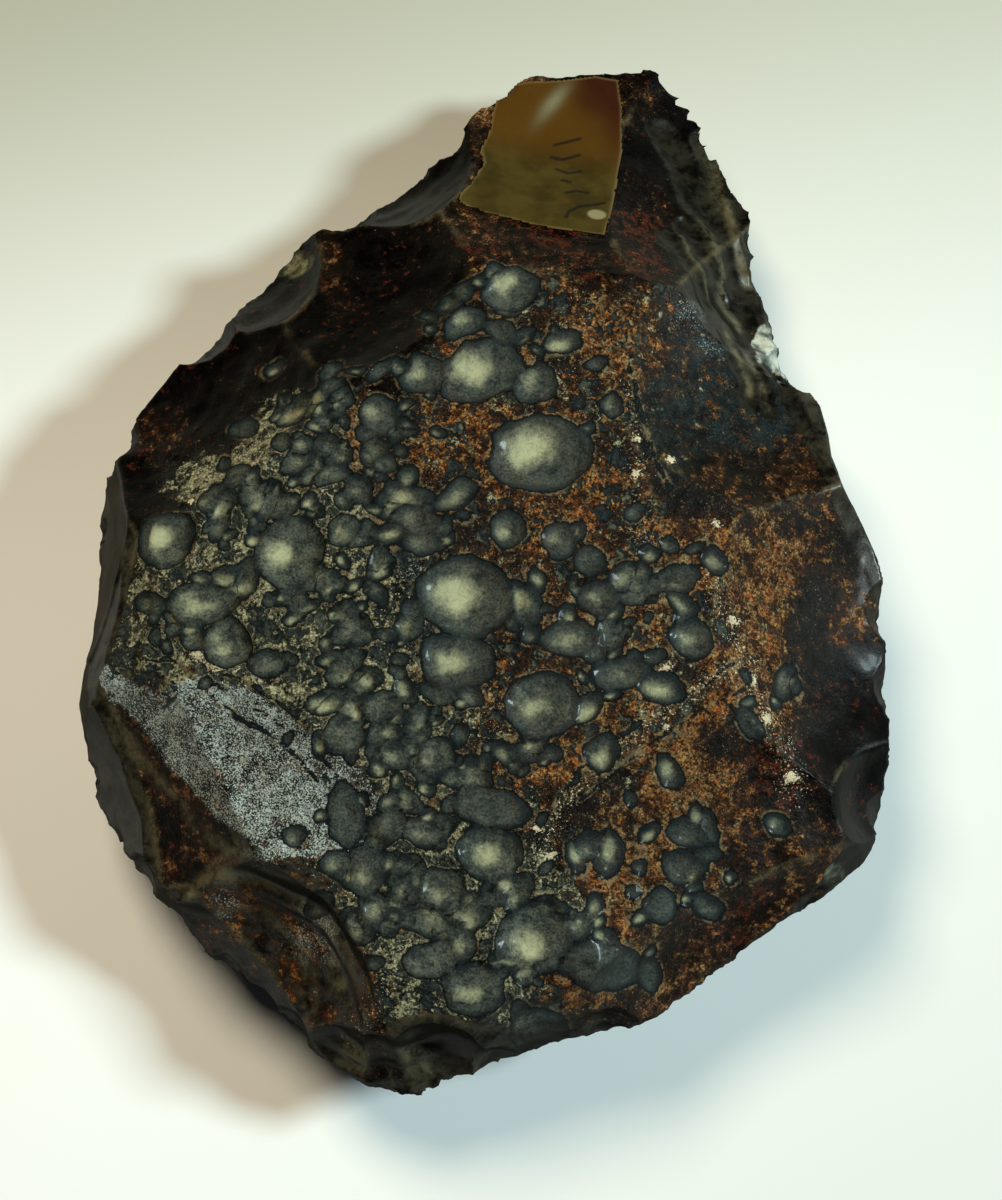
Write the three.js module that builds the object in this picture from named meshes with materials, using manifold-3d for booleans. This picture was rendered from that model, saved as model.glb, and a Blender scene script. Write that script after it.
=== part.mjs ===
import * as THREE from 'three';
import { mergeVertices } from 'three/addons/utils/BufferGeometryUtils.js';
import Module from 'manifold-3d';

// A broad stone hand axe, struck by hand from one block of dark flint, with a paper label
// glued on near its point. The point lies towards +Y, the pitted face looks up, and the
// under face rests on the ground at Z = 0. Sizes are in millimetres.

const LENGTH = 145;
const WIDTH = 107;
const THICKNESS = 35;

// The small worn flat that the stone rests on is where the belly of the blank is cut off.
const BELLY_DEPTH = 1;

// The paper is glued down with a thin clear space under it.
const PAPER = 0.35;
const GLUE_SPACE = 0.3;

// Facets are kept near these sizes, so the hollows stay smooth without many faces.
const FACET = { scar: 6, under: 8, nibble: 3.6, pit: 3 };

// Everything carved is placed by shares of the stone's own size. A place is given in percent
// of the half width (right is plus), of the half length (towards the point is plus) and of
// the thickness. Bearings are in degrees clockwise from the point, seen from above.
const PERCENT = 100;
const HALF = 2;

function place([across, along, height]) {
  return new THREE.Vector3(
    across / PERCENT * WIDTH / HALF,
    along / PERCENT * LENGTH / HALF,
    height / PERCENT * THICKNESS,
  );
}

function share(percent) {
  return percent / PERCENT * LENGTH;
}

function radians(degrees) {
  return THREE.MathUtils.degToRad(degrees);
}

function bearing(degrees) {
  return new THREE.Vector3(Math.sin(radians(degrees)), Math.cos(radians(degrees)), 0);
}

// A small repeatable source of chance for the edge nibbling: each draw follows from the last.
const CHANCE = { seed: 9, times: 1664525, plus: 1013904223, range: 2 ** 32 };

function chance() {
  let state = CHANCE.seed;
  return (low, high) => {
    state = (state * CHANCE.times + CHANCE.plus) % CHANCE.range;
    return low + (high - low) * state / CHANCE.range;
  };
}

const wasm = await Module();
wasm.setup();

// Corners closer than this are one corner.
const WELD = 1e-5;

function solid(geometry) {
  const bare = geometry.clone();
  bare.deleteAttribute('normal');
  bare.deleteAttribute('uv');
  const merged = mergeVertices(bare, WELD);
  return new wasm.Manifold(new wasm.Mesh({
    numProp: 3,
    vertProperties: new Float32Array(merged.attributes.position.array),
    triVerts: new Uint32Array(merged.index.array),
  }));
}

function geometryOf(shape) {
  const mesh = shape.getMesh();
  const geometry = new THREE.BufferGeometry();
  geometry.setAttribute('position', new THREE.BufferAttribute(mesh.vertProperties, 3));
  geometry.setIndex(new THREE.BufferAttribute(mesh.triVerts, 1));
  return geometry;
}

// The sharp margin, clockwise from the point. It is not level: it is low at the point and
// on the left, and high at the lower right, where the under face is struck away.
const MARGIN = [
  [-2, 97, 34], [12, 100, 34], [25, 96, 34], [33, 92, 37], [43, 76, 40], [51, 63, 43],
  [58, 51, 46], [62, 41, 46], [73, 32, 49], [75, 26, 49], [83, 16, 49], [92, 5, 49],
  [95, -7, 51], [99, -22, 51], [100, -33, 49], [100, -43, 46], [90, -53, 46], [77, -62, 49],
  [65, -72, 51], [52, -81, 51], [34, -86, 49], [19, -93, 49], [10, -99, 40], [-3, -100, 37],
  [-16, -97, 37], [-29, -92, 37], [-36, -86, 40], [-49, -83, 37], [-60, -76, 37],
  [-74, -71, 37], [-83, -62, 37], [-89, -51, 37], [-94, -43, 37], [-94, -29, 37],
  [-97, -16, 37], [-100, -5, 37], [-97, 7, 40], [-90, 19, 40], [-80, 30, 43],
  [-71, 42, 43], [-62, 51, 43], [-43, 62, 40], [-33, 75, 37], [-26, 86, 34], [-17, 93, 34],
];
const margin = new THREE.CatmullRomCurve3(MARGIN.map(place), true, 'centripetal');

// The crown is the old outer skin of the nodule: a gently domed plateau, highest right of
// the middle.
const CROWN = { top: place([10, -12, 100]), radius: share(150) };

function crownHeight(x, y) {
  const reach = Math.hypot(x - CROWN.top.x, y - CROWN.top.y);
  return CROWN.top.z - reach * reach / (HALF * CROWN.radius);
}

// The blank, before its scars: a lens with the margin as its edge, full towards the crown
// above and towards the belly below. Rings are shares of the way from heart to margin.
const SECTORS = 108;
const RINGS = { above: [0.98, 0.95, 0.9, 0.8, 0.6, 0.32], below: [0.85, 0.5] };
const FULLNESS = { above: 20, below: 3 };

function makeBlank() {
  const rim = margin.getSpacedPoints(Math.round(SECTORS)).slice(0, -1);
  const sectors = rim.length;
  const heart = place([0, -6, 0]);
  const points = [];
  const faces = [];
  const bellyFloor = -BELLY_DEPTH;

  const ringOf = (part, above) => rim.map((edge) => {
    const x = heart.x + (edge.x - heart.x) * part;
    const y = heart.y + (edge.y - heart.y) * part;
    const goal = above ? crownHeight(x, y) : bellyFloor;
    const rise = 1 - part ** (above ? FULLNESS.above : FULLNESS.below);
    return new THREE.Vector3(x, y, edge.z + (goal - edge.z) * rise);
  });

  const addRing = (ring) => {
    const first = points.length;
    points.push(...ring);
    return first;
  };
  const join = (outer, inner, above) => {
    for (let i = 0; i < sectors; i += 1) {
      const j = (i + 1) % sectors;
      const a = outer + i;
      const b = outer + j;
      const c = inner + i;
      const d = inner + j;
      faces.push(...(above ? [a, c, b, b, c, d] : [a, b, c, b, d, c]));
    }
  };

  const edge = addRing(rim);
  for (const above of [true, false]) {
    let outer = edge;
    for (const part of above ? RINGS.above : RINGS.below) {
      const inner = addRing(ringOf(part, above));
      join(outer, inner, above);
      outer = inner;
    }
    const z = above ? crownHeight(heart.x, heart.y) : bellyFloor;
    const pole = addRing([new THREE.Vector3(heart.x, heart.y, z)]);
    for (let i = 0; i < sectors; i += 1) {
      const j = (i + 1) % sectors;
      faces.push(...(above ? [outer + i, pole, outer + j] : [outer + i, outer + j, pole]));
    }
  }

  const geometry = new THREE.BufferGeometry().setFromPoints(points);
  geometry.setIndex(faces);
  return solid(geometry);
}

// A flake leaves a shallow bowl. The bowl touches the stone at a place, faces out along its
// slope there, and has one radius down its fall and one across it.
const DEEPEST_BOWL = 30;

function bowl({ at, falls, dip, radii, under = false, facet = FACET.scar }) {
  const [downRadius, acrossRadius] = radii.map(share);
  const depth = Math.min(downRadius, acrossRadius, DEEPEST_BOWL);
  const down = Math.sqrt(downRadius * depth);
  const across = Math.sqrt(acrossRadius * depth);
  const outward = bearing(falls).multiplyScalar(Math.sin(radians(dip)));
  outward.z = Math.cos(radians(dip)) * (under ? -1 : 1);

  const side = new THREE.Vector3().crossVectors(bearing(falls), outward).normalize();
  const along = new THREE.Vector3().crossVectors(outward, side);
  const detail = Math.max(1, Math.round(Math.max(down, across) / facet));
  const geometry = new THREE.IcosahedronGeometry(1, detail);
  geometry.scale(across, down, depth);
  geometry.applyMatrix4(new THREE.Matrix4().makeBasis(side, along, outward));
  const centre = (at.isVector3 ? at : place(at)).clone().addScaledVector(outward, depth);
  geometry.translate(centre.x, centre.y, centre.z);
  return solid(geometry);
}

function strike(stone, scars) {
  return scars.reduce((rest, scar) => rest.subtract(bowl(scar)), stone);
}

// The large scars of the upper face.
const UPPER_SCARS = [
  // right side, from the point down
  { at: [14, 79, 46], falls: 48, dip: 28, radii: [41, 41] },
  { at: [45, 51, 54], falls: 58, dip: 42, radii: [28, 21] },
  { at: [40, 30, 79], falls: 65, dip: 28, radii: [41, 31] },
  { at: [70, -7, 73], falls: 85, dip: 34, radii: [38, 34] },
  { at: [56, -51, 80], falls: 130, dip: 20, radii: [69, 55] },
  { at: [92, -35, 63], falls: 90, dip: 50, radii: [10, 10] },
  { at: [71, -64, 57], falls: 140, dip: 40, radii: [28, 55] },
  // the facet that the label is glued to
  { at: [-9, 75, 50], falls: 355, dip: 24, radii: [83, 83] },
  // left side, from the point down
  { at: [-34, 67, 46], falls: 300, dip: 35, radii: [14, 14] },
  { at: [-43, 36, 71], falls: 315, dip: 28, radii: [48, 31] },
  { at: [-66, 36, 51], falls: 310, dip: 40, radii: [14, 10] },
  { at: [-74, 10, 66], falls: 300, dip: 30, radii: [41, 41] },
  { at: [-92, -18, 56], falls: 265, dip: 68, radii: [138, 55] },
  { at: [-80, -56, 50], falls: 232, dip: 60, radii: [69, 41] },
  { at: [-66, -57, 64], falls: 225, dip: 35, radii: [41, 55] },
  { at: [-50, -50, 83], falls: 205, dip: 15, radii: [21, 83] },
  { at: [-32, -78, 56], falls: 208, dip: 28, radii: [10, 16] },
  { at: [-43, -83, 43], falls: 210, dip: 45, radii: [14, 21] },
  // the small fans at the butt
  { at: [-15, -95, 47], falls: 195, dip: 40, radii: [8, 6] },
  { at: [-5, -96, 49], falls: 178, dip: 40, radii: [8, 6] },
  { at: [6, -93, 51], falls: 155, dip: 35, radii: [8, 6] },
];

// The under face is flaked in from all round, with one steep scar that undercuts the butt.
const UNDER_SCARS = [
  { at: [4, 58, 21], falls: 2, dip: 15, radii: [69, 34] },
  { at: [38, 44, 29], falls: 52, dip: 27, radii: [41, 34] },
  { at: [60, 14, 29], falls: 76, dip: 27, radii: [41, 38] },
  { at: [66, -26, 29], falls: 98, dip: 26, radii: [41, 34] },
  { at: [52, -56, 31], falls: 134, dip: 30, radii: [38, 38] },
  { at: [24, -76, 30], falls: 162, dip: 46, radii: [24, 28] },
  { at: [-14, -70, 24], falls: 188, dip: 25, radii: [41, 34] },
  { at: [-48, -56, 23], falls: 222, dip: 25, radii: [48, 34] },
  { at: [-66, -26, 24], falls: 254, dip: 24, radii: [41, 34] },
  { at: [-66, 6, 25], falls: 276, dip: 25, radii: [41, 31] },
  { at: [-52, 32, 27], falls: 304, dip: 27, radii: [41, 34] },
  { at: [-24, 54, 27], falls: 322, dip: 26, radii: [34, 34] },
];

// Use and handling nibbled the margin all round. Each small scar sits on the margin, falls
// away from the stone and bites from above or from below in turn. Sizes are in percent of
// the length, the bite is a share of the scar's own size, and the drift is in degrees.
const NIBBLES = 52;
const NIBBLE = { least: 2.2, most: 4.6, bite: 0.25, dipAbove: 46, dipBelow: 40, drift: 24 };

function nibbles() {
  const draw = chance();
  const scars = [];
  for (let i = 0; i < NIBBLES; i += 1) {
    const t = (i + draw(0.1, 0.9)) / NIBBLES;
    const tangent = margin.getTangentAt(t);
    const outward = THREE.MathUtils.radToDeg(Math.atan2(-tangent.y, tangent.x));
    const size = draw(NIBBLE.least, NIBBLE.most);
    const under = i % 2 === 1;
    const falls = outward + draw(-NIBBLE.drift, NIBBLE.drift);
    const at = margin.getPointAt(t);
    at.addScaledVector(bearing(falls), -share(NIBBLE.bite * size));
    at.z += share(NIBBLE.bite) * (under ? -1 : 1);
    scars.push({
      at,
      falls,
      dip: under ? NIBBLE.dipBelow : NIBBLE.dipAbove,
      radii: [size * draw(1, 2), size],
      under,
      facet: FACET.nibble,
    });
  }
  return scars;
}

// Frost and the nodule's own growth left round glossy pits in the crown. Each is given as
// across, along, half length, half breadth (both in percent of the stone's length) and the
// bearing of its long axis.
const PITS = [
  [-5, -18, 4.3, 3.5, 80], [-4, -29, 3.5, 2.4, 80], [6, 10, 4.6, 3.4, 70],
  [-12, 22, 4.1, 2.7, 50], [-24, 21, 2.1, 1.6, 50], [2, 22, 2, 1.7, 40],
  [-9, 39, 2.6, 2.1, 100], [-18, 31, 1.9, 1.5, 80], [-33, 12, 1.9, 1.7, 60],
  [-77, -16, 3.1, 2.8, 0], [-65, -26, 3.1, 2, 75], [-57, -32, 2.1, 2.1, 0],
  [-47, -15, 3.2, 2.9, 20], [-19, -7, 2.1, 1.5, 80], [23, -14, 2.5, 1.7, 60],
  [33, -26, 2.5, 1.5, 90], [17, -34, 3.2, 2.7, 80], [-22, -57, 3.3, 1.5, 165],
  [-13, -58, 2.1, 1.3, 80], [11, -59, 2.8, 2.3, 80], [2, -66, 1.9, 1.9, 0],
  [25, -71, 3, 2.9, 30], [12, -81, 2.6, 2.3, 60], [29, -84, 2.5, 1.3, 80],
  [22, -22, 2.6, 1.7, 70], [47, -18, 2.1, 1.9, 0], [-15, -66, 2.3, 1.9, 0],
];
const PIT_DEPTH = 0.3;

function pits() {
  return PITS.map(([across, along, long, broad, turn]) => {
    const at = place([across, along, 0]);
    const depth = PIT_DEPTH * broad;
    at.z = crownHeight(at.x, at.y) - share(depth);
    const radii = [long, broad].map((half) => half * half / (HALF * depth));
    return { at, falls: turn, dip: 0, radii, facet: FACET.pit };
  });
}

// The stone is finished by wearing its belly to a flat, and stands with the middle of its
// outline over the origin.
function makeStone() {
  let stone = makeBlank();
  stone = strike(stone, UPPER_SCARS);
  stone = strike(stone, UNDER_SCARS.map((scar) => ({ ...scar, under: true, facet: FACET.under })));
  stone = strike(stone, pits());
  stone = strike(stone, nibbles());
  const ground = new THREE.BoxGeometry(HALF * LENGTH, HALF * LENGTH, HALF * THICKNESS);
  ground.translate(0, 0, -THICKNESS);
  return geometryOf(stone.subtract(solid(ground)));
}

// The label's outline, clockwise from the corner at the point, in shares as above. It runs
// up to the margin at its top and is torn ragged on its left.
const LABEL = [
  [6, 95], [9, 83], [11, 71], [11, 62], [9, 56], [-1, 56], [-16, 57], [-27, 59],
  [-24, 65], [-23, 70], [-25, 74], [-25, 80], [-24, 85], [-17, 90],
];

function makeLabel(stone) {
  const corners = LABEL.map(([across, along]) => {
    const corner = place([across, along, 0]);
    return new THREE.Vector2(corner.x, corner.y);
  });
  const column = new THREE.ExtrudeGeometry(new THREE.Shape(corners.reverse()), {
    depth: HALF * THICKNESS,
    bevelEnabled: false,
  });
  const glued = solid(stone.clone().translate(0, 0, GLUE_SPACE));
  const faced = solid(stone.clone().translate(0, 0, GLUE_SPACE + PAPER));
  return geometryOf(faced.intersect(solid(column)).subtract(glued));
}

const stone = makeStone();
stone.computeBoundingBox();
const middle = stone.boundingBox.getCenter(new THREE.Vector3());
const label = makeLabel(stone);

const flint = new THREE.MeshStandardMaterial({ color: 0x2e241c, roughness: 0.3, metalness: 0 });
const paper = new THREE.MeshStandardMaterial({ color: 0x8a7446, roughness: 0.7, metalness: 0 });

function piece(name, geometry, material) {
  const mesh = new THREE.Mesh(geometry, material);
  mesh.name = name;
  mesh.position.set(-middle.x, -middle.y, 0);
  return mesh;
}

const handAxe = new THREE.Group();
handAxe.add(piece('flint_body', stone, flint));
handAxe.add(piece('paper_label', label, paper));

export default handAxe;
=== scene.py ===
import math

import bpy
import numpy as np
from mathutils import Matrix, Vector


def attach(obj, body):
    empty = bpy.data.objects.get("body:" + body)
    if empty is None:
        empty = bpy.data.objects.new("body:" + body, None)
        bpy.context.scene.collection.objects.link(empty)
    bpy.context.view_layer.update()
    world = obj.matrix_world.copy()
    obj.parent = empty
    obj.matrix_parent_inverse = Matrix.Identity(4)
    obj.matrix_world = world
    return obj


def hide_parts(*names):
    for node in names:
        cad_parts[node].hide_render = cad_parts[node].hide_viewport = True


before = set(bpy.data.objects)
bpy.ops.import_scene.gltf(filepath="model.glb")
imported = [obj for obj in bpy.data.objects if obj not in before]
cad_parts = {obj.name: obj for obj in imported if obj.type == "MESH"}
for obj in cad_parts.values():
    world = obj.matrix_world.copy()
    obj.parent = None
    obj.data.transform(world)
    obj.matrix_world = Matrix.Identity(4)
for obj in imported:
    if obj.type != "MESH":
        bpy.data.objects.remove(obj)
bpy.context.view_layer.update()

scene = bpy.context.scene
MM = 0.001


# The camera stands almost over the stone, a little right of its long axis, as a hand-held
# camera does when it looks down at a table.
LOOK_AT = Vector((0, 0, 0.018))


def direction(azimuth, elevation):
    """The way towards a place that azimuth and elevation name, with azimuth 0 on the -Y side."""
    turn = math.radians(azimuth)
    rise = math.radians(elevation)
    level = math.cos(rise)
    return Vector((math.sin(turn) * level, -math.cos(turn) * level, math.sin(rise)))


bpy.ops.object.select_all(action="DESELECT")
bpy.ops.object.camera_add()
camera = bpy.context.object
camera.name = "camera"
camera.data.lens = 70
camera.data.sensor_width = 36
camera.data.shift_x = -0.0033
camera.data.shift_y = -0.0544
camera.data.clip_start = 0.01
camera.data.dof.use_dof = False
away = direction(10.5, 75)
camera.location = LOOK_AT + away * 0.303
camera.rotation_euler = away.to_track_quat("Z", "Y").to_euler()
scene.camera = camera
scene.view_settings.view_transform = "Standard"


# Two soft lamps light the stone: a clear one on the right, and a warm one beyond the point and
# to its left. The warm one leaves no gloss.
def soft_lamp(name, azimuth, elevation, distance, size, power, colour):
    away = direction(azimuth, elevation)
    bpy.ops.object.light_add(type="AREA")
    lamp = bpy.context.object
    lamp.name = name
    lamp.data.shape = "DISK"
    lamp.data.size = size
    lamp.data.energy = power
    lamp.data.color = colour
    lamp.location = LOOK_AT + away * distance
    lamp.rotation_euler = away.to_track_quat("Z", "Y").to_euler()
    return lamp


soft_lamp("clear_lamp", 102, 43, 0.60, 0.12, 4.0, (0.78, 0.97, 0.97))
warm_lamp = soft_lamp("warm_lamp", 224, 61, 0.60, 0.26, 2.9, (1.0, 0.86, 0.62))
warm_lamp.visible_glossy = False

world = bpy.data.worlds.new("room")
scene.world = world
world.use_nodes = True
room = world.node_tree.nodes["Background"]
room.inputs["Color"].default_value = (0.92, 0.97, 1.0, 1)
room.inputs["Strength"].default_value = 0.012


# The floor is a plain sheet of pale paper under the stone, with shade painted into it: it
# darkens a little towards the right, and more beyond the point, where the lamps' light falls off.
PAPER_WITH_SHADE_RIGHT = (0.90, 0.92, 0.94, 1), (0.66, 0.67, 0.66, 1)
PAINTED_SHADE_BEYOND = (0.36, 0.37, 0.31, 1)


class Wire:
    """A value in a material. Arithmetic on it adds Math nodes."""

    def __init__(self, tree, socket):
        self.tree = tree
        self.socket = socket

    def put(self, kind, settings, sockets, out=0):
        """Adds a node: first its settings, then its sockets, each a plain value or a wire."""
        node = self.tree.nodes.new(kind)
        for name, value in settings.items():
            setattr(node, name, value)
        for name, value in sockets.items():
            if isinstance(value, Wire):
                self.tree.links.new(value.socket, node.inputs[name])
            else:
                node.inputs[name].default_value = value
        return Wire(self.tree, node.outputs[out])

    def math(self, operation, *values):
        return self.put("ShaderNodeMath", {"operation": operation}, dict(enumerate(values)))

    def __add__(self, other):
        return self.math("ADD", self, other)

    def __sub__(self, other):
        return self.math("SUBTRACT", self, other)

    def __mul__(self, other):
        return self.math("MULTIPLY", self, other)

    def __rsub__(self, other):
        return self.math("SUBTRACT", other, self)

    __radd__ = __add__
    __rmul__ = __mul__

    def step(self, low, high):
        """0 below low, 1 above high, and a smooth rise between."""
        ends = {"Value": self, "From Min": low, "From Max": high}
        return self.put("ShaderNodeMapRange", {"interpolation_type": "SMOOTHSTEP"}, ends)

    def blend(self, first, second):
        """A colour that goes from the first to the second as this value goes from 0 to 1."""
        ends = {0: self, 6: first, 7: second}
        return self.put("ShaderNodeMix", {"data_type": "RGBA"}, ends, 2)


def start_material(name):
    """A new material, its surface shader, and the place on the object in millimetres."""
    material = bpy.data.materials.new(name)
    material.use_nodes = True
    tree = material.node_tree
    shader = tree.nodes["Principled BSDF"]
    place = Wire(tree, None).put("ShaderNodeTexCoord", {}, {}, "Object")
    scaled = {0: place, "Scale": 1 / MM}
    return material, shader, place.put("ShaderNodeVectorMath", {"operation": "SCALE"}, scaled)


def feed(shader, name, wire):
    wire.tree.links.new(wire.socket, shader.inputs[name])


bpy.ops.mesh.primitive_plane_add(size=3, location=(0, 0, -0.0001))
floor = bpy.context.object
floor.name = "paper_floor"
material, shader, place = start_material("pale_paper")
split = place.put("ShaderNodeSeparateXYZ", {}, {0: place})
across = Wire(split.tree, split.socket.node.outputs["X"])
along = Wire(split.tree, split.socket.node.outputs["Y"]) + across * -0.35
# Painted shade: the paper darkens towards the right and beyond the point.
paper = across.step(-60, 110).blend(*PAPER_WITH_SHADE_RIGHT)
feed(shader, "Base Color", along.step(-10, 118).blend(paper, PAINTED_SHADE_BEYOND))
shader.inputs["Roughness"].default_value = 0.8
shader.inputs["Specular IOR Level"].default_value = 0.2
floor.data.materials.append(material)


# The stone is one struck block of dark flint. Its outer skin is left as a pitted crown, long
# smooth scars fall away from it on all sides, and the margin is chipped all round.
HALF_WIDTH = 53.5
HALF_LENGTH = 72.5
THICKNESS = 35.0
CENTRING = np.array([-0.14, -0.06, 0.0])
CROWN_TOP = np.array([5.35, -8.7, 35.0]) + CENTRING
CROWN_RADIUS = 217.5

# What the surface is like in each part: the ground colour, then how much of it is covered by
# rust, by dark red and by pale ash grains, and how rough the crust is.
SKINS = {
    "black": (0.0014, 0.0012, 0.0011, 0.12, 0.20, 0.06, 0.25),
    "oxblood": (0.0028, 0.0016, 0.0014, 0.24, 0.36, 0.06, 0.4),
    "brown": (0.003, 0.0020, 0.0013, 0.33, 0.20, 0.06, 0.4),
    "rusty": (0.009, 0.006, 0.004, 0.52, 0.14, 0.28, 0.8),
    "orange": (0.006, 0.0035, 0.002, 0.54, 0.18, 0.20, 1.0),
    "grey": (0.008, 0.009, 0.007, 0.28, 0.02, 0.58, 0.7),
    "teal": (0.007, 0.011, 0.010, 0.20, 0.02, 0.38, 0.6),
    "night": (0.005, 0.010, 0.011, 0.26, 0.12, 0.20, 0.45),
    "olive": (0.021, 0.019, 0.013, 0.08, 0.00, 0.04, 0.0),
    "flute": (0.009, 0.0085, 0.006, 0.10, 0.06, 0.04, 0.1),
    "arc": (0.021, 0.022, 0.021, 0.34, 0.16, 0.10, 0.3),
    "silver": (0.018, 0.018, 0.015, 0.26, 0.06, 0.26, 0.3),
}

# Each scar: across, along and height in percent of the half width, half length and
# thickness, the bearing it falls to, its dip, and its radii in percent of the length. Then
# its skin and the height of its ripples in millimetres.
UPPER_SCARS = [
    ("tip_right", 14, 79, 46, 48, 28, 41, 41, "black", 0.00),
    ("flutes", 45, 51, 54, 58, 42, 28, 21, "flute", 0.10),
    ("right_high", 40, 30, 79, 65, 28, 41, 31, "night", 0.03),
    ("right_middle", 70, -7, 73, 85, 34, 38, 34, "brown", 0.02),
    ("right_low", 56, -51, 80, 130, 20, 69, 55, "brown", 0.00),
    ("right_chip", 92, -35, 63, 90, 50, 10, 10, "black", 0.00),
    ("right_foot", 71, -64, 57, 140, 40, 28, 55, "black", 0.00),
    ("tip", -9, 75, 50, 355, 24, 83, 83, "oxblood", 0.04),
    ("tip_left", -34, 67, 46, 300, 35, 14, 14, "black", 0.06),
    ("left_high", -43, 36, 71, 315, 28, 48, 31, "black", 0.02),
    ("left_chip", -66, 36, 51, 310, 40, 14, 10, "black", 0.00),
    ("left_middle", -74, 10, 66, 300, 30, 41, 41, "black", 0.03),
    ("left_side", -92, -18, 56, 265, 68, 138, 55, "olive", 0.03),
    ("left_low_side", -80, -56, 50, 232, 60, 69, 41, "olive", 0.03),
    ("left_band", -66.5, -57.5, 68, 225, 37, 41, 55, "brown", 0.00),
    ("silver", -50, -50, 83, 205, 15, 21, 83, "silver", 0.00),
    ("arcs", -32, -78, 56, 208, 28, 10, 16, "arc", 0.30),
    ("arcs_low", -43, -83, 43, 210, 45, 14, 21, "arc", 0.20),
    ("butt_left", -15, -95, 47, 195, 40, 8, 6, "olive", 0.22),
    ("butt_middle", -5, -96, 49, 178, 40, 8, 6, "oxblood", 0.22),
    ("butt_right", 6, -93, 51, 155, 35, 8, 6, "olive", 0.22),
]
UNDER_SCARS = [
    (4, 58, 21, 2, 15, 69, 34),
    (38, 44, 29, 52, 27, 41, 34),
    (60, 14, 29, 76, 27, 41, 38),
    (66, -26, 29, 98, 26, 41, 34),
    (52, -56, 31, 134, 30, 38, 38),
    (24, -76, 30, 162, 46, 24, 28),
    (-14, -70, 24, 188, 25, 41, 34),
    (-48, -56, 23, 222, 25, 48, 34),
    (-66, -26, 24, 254, 24, 41, 34),
    (-66, 6, 25, 276, 25, 41, 31),
    (-52, 32, 27, 304, 27, 41, 34),
    (-24, 54, 27, 322, 26, 34, 34),
]
NAMES = [row[0] for row in UPPER_SCARS]


def crown_height(x, y):
    reach = np.hypot(x - CROWN_TOP[0], y - CROWN_TOP[1])
    return CROWN_TOP[2] - reach ** 2 / (2 * CROWN_RADIUS)


def rise(x, low, high):
    """0 below low, 1 above high, smooth between, for arrays."""
    t = np.clip((x - low) / (high - low), 0, 1)
    return t * t * (3 - 2 * t)


class Bowl:
    """The rounded hollow that one flake left. It knows how far a point lies outside it."""

    def __init__(self, across, along, height, falls, dip, down_radius, across_radius, under):
        down_radius = down_radius * HALF_LENGTH / 50
        across_radius = across_radius * HALF_LENGTH / 50
        depth = min(down_radius, across_radius, 30)
        turn = math.radians(falls)
        tilt = math.radians(dip)
        level = np.array([math.sin(turn), math.cos(turn), 0])
        out = level * math.sin(tilt)
        out[2] = math.cos(tilt) * (-1 if under else 1)
        side = np.cross(level, out)
        side /= np.linalg.norm(side)
        self.axes = np.array([side, np.cross(out, side), out])
        self.sizes = np.array([
            math.sqrt(across_radius * depth),
            math.sqrt(down_radius * depth),
            depth,
        ])
        shares = np.array([across * HALF_WIDTH, along * HALF_LENGTH, height * THICKNESS]) / 100
        self.at = shares + CENTRING
        self.centre = self.at + out * depth
        self.level = level

    def outside(self, points):
        """Distance outside the hollow, minus inside it, and the way straight out of it."""
        local = (points - self.centre) @ self.axes.T / self.sizes
        length = np.linalg.norm(local, axis=1) + 1e-9
        slope = (local / self.sizes) @ self.axes / length[:, None]
        steep = np.linalg.norm(slope, axis=1) + 1e-9
        return (length - 1) / steep, slope / steep[:, None]


upper = [Bowl(*row[1:8], False) for row in UPPER_SCARS]
under = [Bowl(*row, True) for row in UNDER_SCARS]


def lattice(ix, iy, iz, seed):
    """A repeatable chance value from 0 to 1 at each whole-number place."""
    h = (ix * 73856093) ^ (iy * 19349663) ^ (iz * 83492791) ^ (seed * 2654435761)
    h = h & 0xFFFFFFFF
    h = ((h ^ (h >> 15)) * 2246822519) & 0xFFFFFFFF
    h = ((h ^ (h >> 13)) * 3266489917) & 0xFFFFFFFF
    return ((h ^ (h >> 16)) & 0xFFFFFF) / 0xFFFFFF


def noise(points, size, seed, octaves=1):
    """Smooth noise from -1 to 1 with forms about this many millimetres wide."""
    total = np.zeros(len(points))
    weight = 1.0
    for octave in range(octaves):
        p = points / size
        cell = np.floor(p).astype(np.int64)
        t = p - cell
        t = t * t * (3 - 2 * t)
        for corner in range(8):
            dx, dy, dz = corner & 1, corner >> 1 & 1, corner >> 2
            share = (
                (t[:, 0] if dx else 1 - t[:, 0])
                * (t[:, 1] if dy else 1 - t[:, 1])
                * (t[:, 2] if dz else 1 - t[:, 2])
            )
            value = lattice(cell[:, 0] + dx, cell[:, 1] + dy, cell[:, 2] + dz, seed + octave)
            total += weight * share * (value * 2 - 1)
        size /= 2
        weight /= 2
    return total


def select_only(piece):
    bpy.ops.object.select_all(action="DESELECT")
    piece.select_set(True)
    bpy.context.view_layer.objects.active = piece


def modify(piece, kind, **settings):
    """Adds a modifier with these settings and applies it."""
    select_only(piece)
    modifier = piece.modifiers.new(kind, kind)
    for name, value in settings.items():
        setattr(modifier, name, value)
    bpy.ops.object.modifier_apply(modifier=kind)


def copy_of(node, name):
    piece = bpy.data.objects.new(name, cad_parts[node].data.copy())
    scene.collection.objects.link(piece)
    select_only(piece)
    bpy.ops.object.mode_set(mode="EDIT")
    bpy.ops.mesh.select_all(action="SELECT")
    bpy.ops.mesh.remove_doubles(threshold=1e-6)
    bpy.ops.object.mode_set(mode="OBJECT")
    return piece


def corners(piece):
    """The corners of a mesh in millimetres."""
    flat = np.empty(len(piece.data.vertices) * 3)
    piece.data.vertices.foreach_get("co", flat)
    return flat.reshape(-1, 3) / MM


def set_corners(piece, points):
    piece.data.vertices.foreach_set("co", (points * MM).ravel())
    piece.data.update()


def normals_of(piece):
    flat = np.empty(len(piece.data.vertices) * 3)
    piece.data.vertex_normals.foreach_get("vector", flat)
    return flat.reshape(-1, 3)


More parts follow.
